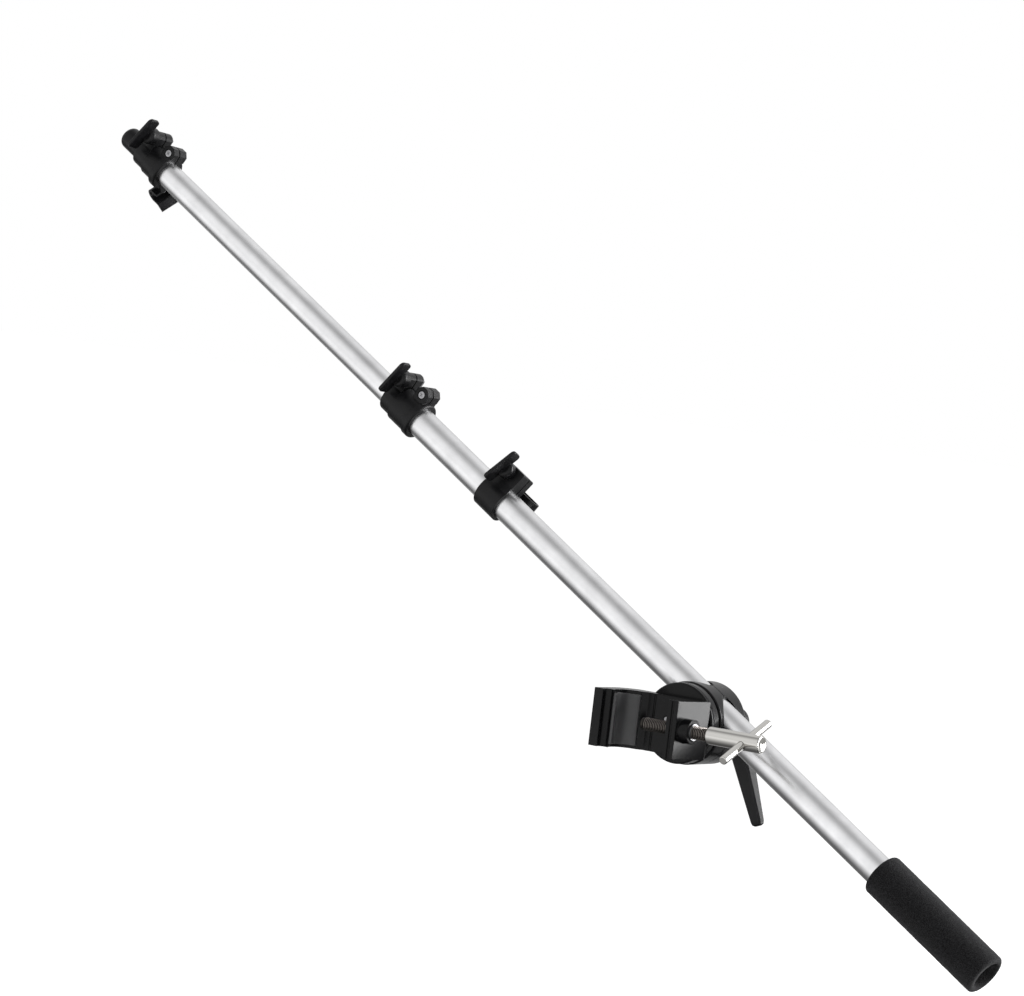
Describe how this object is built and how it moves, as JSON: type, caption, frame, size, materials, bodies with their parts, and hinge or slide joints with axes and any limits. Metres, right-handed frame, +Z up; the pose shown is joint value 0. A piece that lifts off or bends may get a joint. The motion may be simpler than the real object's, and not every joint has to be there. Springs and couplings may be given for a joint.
{
  "type": "reflector holder arm",
  "caption": "Telescopic tube boom on a swivelling stand clamp with T-screw and locking lever, sliding clip collars for a reflector and a foam grip.",
  "frame": {"origin": "axis of the stand post at mid height of the clamp, level with the clamp screw", "axes": "+Z up the stand post, +X along the clamp screw towards its handle, +Y from the post towards the boom"},
  "size_m": [1.0721, 0.1751, 0.6775],
  "materials": {
    "satin_aluminium": "satin anodised",
    "black_casting": "semi-gloss black",
    "black_plastic": "moulded, low sheen",
    "chrome": "polished",
    "dark_steel": "oiled thread",
    "zinc_steel": "zinc plated",
    "foam": "closed-cell foam",
    "grey_pad": "smooth",
    "liner": "smooth"
  },
  "bodies": {
    "clamp": {"clamp_body": "black_casting", "jaw_pad": "grey_pad", "thread_insert": "zinc_steel", "swivel_disc": "black_casting", "swivel_bolt": "zinc_steel"},
    "screw_foot": {"screw_tip": "dark_steel"},
    "screw": {"clamp_screw": "dark_steel", "screw_head": "chrome", "cross_bar": "chrome"},
    "jaws": {"friction_washer": "liner", "front_jaw": "black_casting", "rear_jaw": "black_casting", "lever_washer": "zinc_steel"},
    "lever": {"lever": "black_plastic", "lever_insert": "zinc_steel"},
    "liner": {"liner_bush": "liner"},
    "boom": {"outer_tube": "satin_aluminium", "tube_end_plug": "black_plastic", "grip_foam": "foam", "lower_lock_housing": "black_plastic", "lower_knob_nut": "zinc_steel", "lower_band_screw": "zinc_steel", "lower_band_nut": "zinc_steel"},
    "lower_knob": {"lower_knob": "black_plastic", "lower_knob_stud": "zinc_steel"},
    "slider": {"slider_ring": "black_plastic", "slider_knob_nut": "zinc_steel", "lower_clip": "black_plastic", "lower_clip_rivets": "zinc_steel"},
    "slider_knob": {"slider_knob": "black_plastic", "slider_knob_stud": "zinc_steel"},
    "middle": {"middle_tube": "satin_aluminium", "middle_glide": "black_plastic", "upper_lock_housing": "black_plastic", "upper_knob_nut": "zinc_steel", "upper_band_screw": "zinc_steel", "upper_band_nut": "zinc_steel", "upper_clip": "black_plastic", "upper_clip_rivets": "zinc_steel"},
    "upper_knob": {"upper_knob": "black_plastic", "upper_knob_stud": "zinc_steel"},
    "inner": {"inner_tube": "satin_aluminium", "inner_glide": "black_plastic", "inner_end_cap": "black_plastic"}
  },
  "joints": [
    {"name": "screw_travel", "type": "slide", "parent": "clamp", "child": "screw_foot", "axis": [1, 0, 0], "range_m": [-0.012, 0.03]},
    {"name": "screw_turn", "type": "hinge", "parent": "screw_foot", "child": "screw", "pos_m": [0.0845, 0, 0], "axis": [1, 0, 0], "range_deg": [-2474, 6176]},
    {"name": "boom_swivel", "type": "hinge", "parent": "clamp", "child": "jaws", "pos_m": [0.03, 0.05, 0.002], "axis": [0, 1, 0], "continuous": true},
    {"name": "lever_turn", "type": "hinge", "parent": "clamp", "child": "lever", "pos_m": [0.03, 0.1, 0.002], "axis": [0, 1, 0], "range_deg": [-120, 60]},
    {"name": "boom_roll", "type": "hinge", "parent": "jaws", "child": "liner", "pos_m": [0.04101, 0.064, 0.02012], "axis": [0.8545, 0, -0.5195], "continuous": true},
    {"name": "boom_slide", "type": "slide", "parent": "liner", "child": "boom", "axis": [0.8545, 0, -0.5195], "range_m": [-0.15, 0.06]},
    {"name": "slider_travel", "type": "slide", "parent": "boom", "child": "slider", "axis": [0.8545, 0, -0.5195], "range_m": [-0.08, 0.14]},
    {"name": "middle_slide", "type": "slide", "parent": "boom", "child": "middle", "axis": [-0.8545, 0, 0.5195], "range_m": [-0.29, 0.25]},
    {"name": "inner_slide", "type": "slide", "parent": "middle", "child": "inner", "axis": [-0.8545, 0, 0.5195], "range_m": [0, 0.5]},
    {"name": "lower_knob_turn", "type": "hinge", "parent": "boom", "child": "lower_knob", "pos_m": [-0.33054, 0.0652, 0.2729], "axis": [0.0272, -0.9986, 0.0447], "range_deg": [-90, 180]},
    {"name": "upper_knob_turn", "type": "hinge", "parent": "middle", "child": "upper_knob", "pos_m": [-0.66834, 0.06579, 0.47531], "axis": [0.0453, -0.9962, 0.0745], "range_deg": [-90, 180]},
    {"name": "slider_knob_turn", "type": "hinge", "parent": "slider", "child": "slider_knob", "pos_m": [-0.20601, 0.07238, 0.19725], "axis": [0.1777, -0.9397, 0.2922], "range_deg": [-90, 180]}
  ],
  "couplings": [
    {"joint": "screw_turn", "follows": "screw_travel", "rad_per_m": 3590.4}
  ]
}
